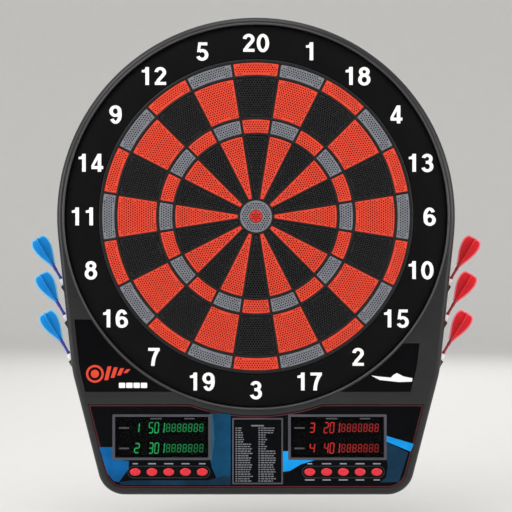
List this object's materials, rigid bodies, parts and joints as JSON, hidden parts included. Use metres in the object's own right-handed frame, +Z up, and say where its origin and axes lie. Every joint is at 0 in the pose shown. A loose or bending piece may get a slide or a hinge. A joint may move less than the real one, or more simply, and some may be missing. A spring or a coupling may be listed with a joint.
{
  "type": "electronic dartboard",
  "caption": "Wall-hung electronic soft-tip dartboard with spring-loaded scoring segments, score displays, press buttons and removable darts in side holders.",
  "frame": {"origin": "centre of the target, on the wall plane at the back of the rear cover", "axes": "+Z up, +X to the right as a player sees it, +Y into the wall; the target faces -Y"},
  "size_m": [0.5742, 0.0394, 0.603],
  "materials": {
    "case_plastic": "satin dark grey ABS",
    "ring_plastic": "fine black texture",
    "spider_plastic": "black, lightly polished edges",
    "dark_bed": "black singles, red double and treble",
    "red_bed": "red singles, grey double and treble",
    "grey_bed": "grey",
    "mat_rubber": "soft black rubber",
    "switch_film": "polyester film",
    "backing_board": "pressed fibreboard",
    "panel_print": "printed polycarbonate",
    "smoked_lens": "smoked acrylic",
    "display_module": "black moulded display",
    "button_red": "red silicone",
    "circuit_board": "green solder mask",
    "speaker_metal": "pressed steel basket",
    "jack_plastic": "black",
    "barrel_metal": "turned and plated",
    "blue_flight": "blue moulded plastic",
    "red_flight": "red moulded plastic"
  },
  "bodies": {
    "board": {"front_housing": "case_plastic", "rear_cover": "case_plastic", "number_ring": "ring_plastic", "spider": "spider_plastic", "rubber_mat": "mat_rubber", "membrane_switch": "switch_film", "pressure_board": "backing_board", "control_panel": "panel_print", "display_lens_left": "smoked_lens", "display_lens_right": "smoked_lens", "display_module_left": "display_module", "display_module_right": "display_module", "controller_board": "circuit_board", "speaker": "speaker_metal", "power_jack": "jack_plastic"},
    "left_dart_1": {"left_dart_1_barrel": "barrel_metal", "left_dart_1_flight": "blue_flight"},
    "left_dart_2": {"left_dart_2_barrel": "barrel_metal", "left_dart_2_flight": "blue_flight"},
    "left_dart_3": {"left_dart_3_barrel": "barrel_metal", "left_dart_3_flight": "blue_flight"},
    "right_dart_1": {"right_dart_1_barrel": "barrel_metal", "right_dart_1_flight": "red_flight"},
    "right_dart_2": {"right_dart_2_barrel": "barrel_metal", "right_dart_2_flight": "red_flight"},
    "right_dart_3": {"right_dart_3_barrel": "barrel_metal", "right_dart_3_flight": "red_flight"},
    "button_left_1": {"button_left_1": "button_red"},
    "button_left_2": {"button_left_2": "button_red"},
    "button_left_3": {"button_left_3": "button_red"},
    "button_left_4": {"button_left_4": "button_red"},
    "button_left_5": {"button_left_5": "button_red"},
    "button_right_1": {"button_right_1": "button_red"},
    "button_right_2": {"button_right_2": "button_red"},
    "button_right_3": {"button_right_3": "button_red"},
    "button_right_4": {"button_right_4": "button_red"},
    "button_right_5": {"button_right_5": "button_red"},
    "outer_bull": {"outer_bull": "grey_bed"},
    "inner_bull": {"inner_bull": "red_bed"},
    "segments_20": {"segments_20": "dark_bed"},
    "segments_01": {"segments_01": "red_bed"},
    "segments_18": {"segments_18": "dark_bed"},
    "segments_04": {"segments_04": "red_bed"},
    "segments_13": {"segments_13": "dark_bed"},
    "segments_06": {"segments_06": "red_bed"},
    "segments_10": {"segments_10": "dark_bed"},
    "segments_15": {"segments_15": "red_bed"},
    "segments_02": {"segments_02": "dark_bed"},
    "segments_17": {"segments_17": "red_bed"},
    "segments_03": {"segments_03": "dark_bed"},
    "segments_19": {"segments_19": "red_bed"},
    "segments_07": {"segments_07": "dark_bed"},
    "segments_16": {"segments_16": "red_bed"},
    "segments_08": {"segments_08": "dark_bed"},
    "segments_11": {"segments_11": "red_bed"},
    "segments_14": {"segments_14": "dark_bed"},
    "segments_09": {"segments_09": "red_bed"},
    "segments_12": {"segments_12": "dark_bed"},
    "segments_05": {"segments_05": "red_bed"}
  },
  "joints": [
    {"name": "left_dart_1_out", "type": "slide", "parent": "board", "child": "left_dart_1", "axis": [-0.5075, 0, 0.8616], "range_m": [0, 0.076]},
    {"name": "left_dart_2_out", "type": "slide", "parent": "board", "child": "left_dart_2", "axis": [-0.5075, 0, 0.8616], "range_m": [0, 0.076]},
    {"name": "left_dart_3_out", "type": "slide", "parent": "board", "child": "left_dart_3", "axis": [-0.5075, 0, 0.8616], "range_m": [0, 0.076]},
    {"name": "right_dart_1_out", "type": "slide", "parent": "board", "child": "right_dart_1", "axis": [0.5075, 0, 0.8616], "range_m": [0, 0.076]},
    {"name": "right_dart_2_out", "type": "slide", "parent": "board", "child": "right_dart_2", "axis": [0.5075, 0, 0.8616], "range_m": [0, 0.076]},
    {"name": "right_dart_3_out", "type": "slide", "parent": "board", "child": "right_dart_3", "axis": [0.5075, 0, 0.8616], "range_m": [0, 0.076]},
    {"name": "button_left_1_press", "type": "slide", "parent": "board", "child": "button_left_1", "axis": [0, 1, 0], "range_m": [0, 0.0012], "stiffness_N_per_m": 900, "springref_m": -0.0006},
    {"name": "button_left_2_press", "type": "slide", "parent": "board", "child": "button_left_2", "axis": [0, 1, 0], "range_m": [0, 0.0012], "stiffness_N_per_m": 900, "springref_m": -0.0006},
    {"name": "button_left_3_press", "type": "slide", "parent": "board", "child": "button_left_3", "axis": [0, 1, 0], "range_m": [0, 0.0012], "stiffness_N_per_m": 900, "springref_m": -0.0006},
    {"name": "button_left_4_press", "type": "slide", "parent": "board", "child": "button_left_4", "axis": [0, 1, 0], "range_m": [0, 0.0012], "stiffness_N_per_m": 900, "springref_m": -0.0006},
    {"name": "button_left_5_press", "type": "slide", "parent": "board", "child": "button_left_5", "axis": [0, 1, 0], "range_m": [0, 0.0012], "stiffness_N_per_m": 900, "springref_m": -0.0006},
    {"name": "button_right_1_press", "type": "slide", "parent": "board", "child": "button_right_1", "axis": [0, 1, 0], "range_m": [0, 0.0012], "stiffness_N_per_m": 900, "springref_m": -0.0006},
    {"name": "button_right_2_press", "type": "slide", "parent": "board", "child": "button_right_2", "axis": [0, 1, 0], "range_m": [0, 0.0012], "stiffness_N_per_m": 900, "springref_m": -0.0006},
    {"name": "button_right_3_press", "type": "slide", "parent": "board", "child": "button_right_3", "axis": [0, 1, 0], "range_m": [0, 0.0012], "stiffness_N_per_m": 900, "springref_m": -0.0006},
    {"name": "button_right_4_press", "type": "slide", "parent": "board", "child": "button_right_4", "axis": [0, 1, 0], "range_m": [0, 0.0012], "stiffness_N_per_m": 900, "springref_m": -0.0006},
    {"name": "button_right_5_press", "type": "slide", "parent": "board", "child": "button_right_5", "axis": [0, 1, 0], "range_m": [0, 0.0012], "stiffness_N_per_m": 900, "springref_m": -0.0006},
    {"name": "outer_bull_press", "type": "slide", "parent": "board", "child": "outer_bull", "axis": [0, 1, 0], "range_m": [0, 0.0013], "stiffness_N_per_m": 1500, "springref_m": -0.0006},
    {"name": "inner_bull_press", "type": "slide", "parent": "board", "child": "inner_bull", "axis": [0, 1, 0], "range_m": [0, 0.0013], "stiffness_N_per_m": 1500, "springref_m": -0.0006},
    {"name": "segments_20_press", "type": "slide", "parent": "board", "child": "segments_20", "axis": [0, 1, 0], "range_m": [0, 0.0013], "stiffness_N_per_m": 1500, "springref_m": -0.0006},
    {"name": "segments_01_press", "type": "slide", "parent": "board", "child": "segments_01", "axis": [0, 1, 0], "range_m": [0, 0.0013], "stiffness_N_per_m": 1500, "springref_m": -0.0006},
    {"name": "segments_18_press", "type": "slide", "parent": "board", "child": "segments_18", "axis": [0, 1, 0], "range_m": [0, 0.0013], "stiffness_N_per_m": 1500, "springref_m": -0.0006},
    {"name": "segments_04_press", "type": "slide", "parent": "board", "child": "segments_04", "axis": [0, 1, 0], "range_m": [0, 0.0013], "stiffness_N_per_m": 1500, "springref_m": -0.0006},
    {"name": "segments_13_press", "type": "slide", "parent": "board", "child": "segments_13", "axis": [0, 1, 0], "range_m": [0, 0.0013], "stiffness_N_per_m": 1500, "springref_m": -0.0006},
    {"name": "segments_06_press", "type": "slide", "parent": "board", "child": "segments_06", "axis": [0, 1, 0], "range_m": [0, 0.0013], "stiffness_N_per_m": 1500, "springref_m": -0.0006},
    {"name": "segments_10_press", "type": "slide", "parent": "board", "child": "segments_10", "axis": [0, 1, 0], "range_m": [0, 0.0013], "stiffness_N_per_m": 1500, "springref_m": -0.0006},
    {"name": "segments_15_press", "type": "slide", "parent": "board", "child": "segments_15", "axis": [0, 1, 0], "range_m": [0, 0.0013], "stiffness_N_per_m": 1500, "springref_m": -0.0006},
    {"name": "segments_02_press", "type": "slide", "parent": "board", "child": "segments_02", "axis": [0, 1, 0], "range_m": [0, 0.0013], "stiffness_N_per_m": 1500, "springref_m": -0.0006},
    {"name": "segments_17_press", "type": "slide", "parent": "board", "child": "segments_17", "axis": [0, 1, 0], "range_m": [0, 0.0013], "stiffness_N_per_m": 1500, "springref_m": -0.0006},
    {"name": "segments_03_press", "type": "slide", "parent": "board", "child": "segments_03", "axis": [0, 1, 0], "range_m": [0, 0.0013], "stiffness_N_per_m": 1500, "springref_m": -0.0006},
    {"name": "segments_19_press", "type": "slide", "parent": "board", "child": "segments_19", "axis": [0, 1, 0], "range_m": [0, 0.0013], "stiffness_N_per_m": 1500, "springref_m": -0.0006},
    {"name": "segments_07_press", "type": "slide", "parent": "board", "child": "segments_07", "axis": [0, 1, 0], "range_m": [0, 0.0013], "stiffness_N_per_m": 1500, "springref_m": -0.0006},
    {"name": "segments_16_press", "type": "slide", "parent": "board", "child": "segments_16", "axis": [0, 1, 0], "range_m": [0, 0.0013], "stiffness_N_per_m": 1500, "springref_m": -0.0006},
    {"name": "segments_08_press", "type": "slide", "parent": "board", "child": "segments_08", "axis": [0, 1, 0], "range_m": [0, 0.0013], "stiffness_N_per_m": 1500, "springref_m": -0.0006},
    {"name": "segments_11_press", "type": "slide", "parent": "board", "child": "segments_11", "axis": [0, 1, 0], "range_m": [0, 0.0013], "stiffness_N_per_m": 1500, "springref_m": -0.0006},
    {"name": "segments_14_press", "type": "slide", "parent": "board", "child": "segments_14", "axis": [0, 1, 0], "range_m": [0, 0.0013], "stiffness_N_per_m": 1500, "springref_m": -0.0006},
    {"name": "segments_09_press", "type": "slide", "parent": "board", "child": "segments_09", "axis": [0, 1, 0], "range_m": [0, 0.0013], "stiffness_N_per_m": 1500, "springref_m": -0.0006},
    {"name": "segments_12_press", "type": "slide", "parent": "board", "child": "segments_12", "axis": [0, 1, 0], "range_m": [0, 0.0013], "stiffness_N_per_m": 1500, "springref_m": -0.0006},
    {"name": "segments_05_press", "type": "slide", "parent": "board", "child": "segments_05", "axis": [0, 1, 0], "range_m": [0, 0.0013], "stiffness_N_per_m": 1500, "springref_m": -0.0006}
  ]
}
